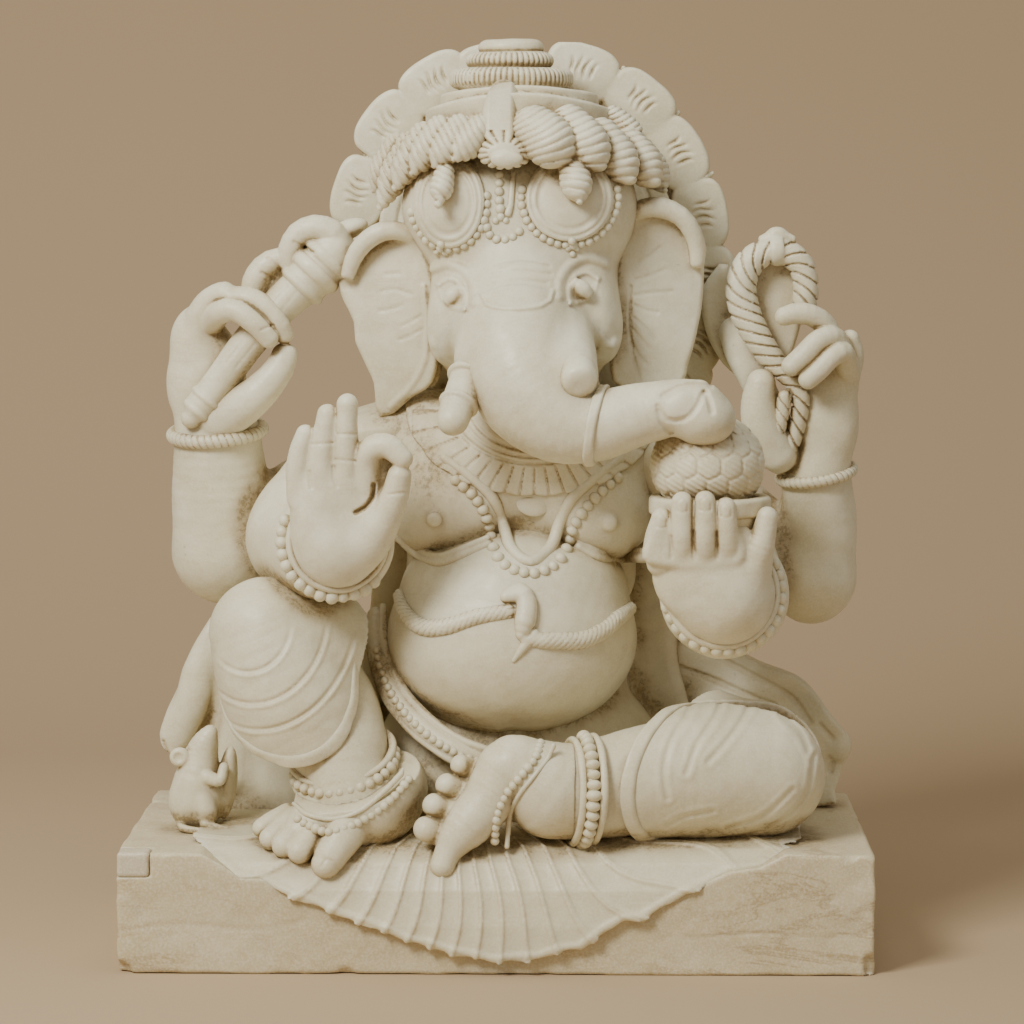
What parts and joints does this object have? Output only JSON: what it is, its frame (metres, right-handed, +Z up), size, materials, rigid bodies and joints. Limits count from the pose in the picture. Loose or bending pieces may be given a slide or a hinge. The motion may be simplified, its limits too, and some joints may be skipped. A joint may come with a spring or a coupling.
{
  "type": "idol statue",
  "caption": "Seated elephant-headed deity with four arms, petal halo, noose, axe, bowl of sweets and a mouse, carved on a low rectangular plinth.",
  "frame": {"origin": "centre of the plinth's underside, on the floor", "axes": "+Z up, +X to the idol's left, +Y to its back, so the idol faces -Y"},
  "size_m": [0.6, 0.2898, 0.741],
  "materials": {
    "carved_marble": "satin hand-polished white marble with warm dirt in the grooves",
    "base_marble": "dull chisel-marked white marble, dirtier towards the floor",
    "repair_marble": "smooth slightly greyer marble inset"
  },
  "bodies": {
    "root": {"plinth": "base_marble", "corner_patch": "repair_marble", "seat_cloth": "carved_marble", "belly": "carved_marble", "chest": "carved_marble", "hips": "carved_marble", "head": "carved_marble", "trunk": "carved_marble", "trunk_band": "carved_marble", "tusk_right": "carved_marble", "tusk_left": "carved_marble", "ear_right": "carved_marble", "ear_left": "carved_marble", "crown_band": "carved_marble", "crown_rings": "carved_marble", "crown_strap": "carved_marble", "hair_curls": "carved_marble", "brow_ornaments": "carved_marble", "halo_disc": "carved_marble", "halo_petals": "carved_marble", "halo_buds": "carved_marble", "folded_shin": "carved_marble", "folded_thigh": "carved_marble", "folded_foot": "carved_marble", "folded_hem": "carved_marble", "folded_anklets": "carved_marble", "raised_shin": "carved_marble", "raised_thigh": "carved_marble", "raised_foot": "carved_marble", "raised_hem": "carved_marble", "raised_anklets": "carved_marble", "shawl_right": "carved_marble", "shawl_left": "carved_marble", "hip_band": "carved_marble", "front_right_upper_arm": "carved_marble", "front_right_forearm": "carved_marble", "front_right_hand": "carved_marble", "front_right_bracelet": "carved_marble", "front_left_upper_arm": "carved_marble", "front_left_forearm": "carved_marble", "front_left_hand": "carved_marble", "front_left_bracelet": "carved_marble", "sweet_bowl": "carved_marble", "sweets": "carved_marble", "back_right_arm": "carved_marble", "axe_handle": "carved_marble", "axe_head": "carved_marble", "back_right_hand": "carved_marble", "back_right_bracelet": "carved_marble", "back_left_arm": "carved_marble", "noose_rope": "carved_marble", "noose_web": "carved_marble", "back_left_hand": "carved_marble", "back_left_bracelet": "carved_marble", "collar": "carved_marble", "necklace_cords": "carved_marble", "bead_necklace": "carved_marble", "serpent_belt": "carved_marble", "mouse": "carved_marble"}
  },
  "joints": []
}
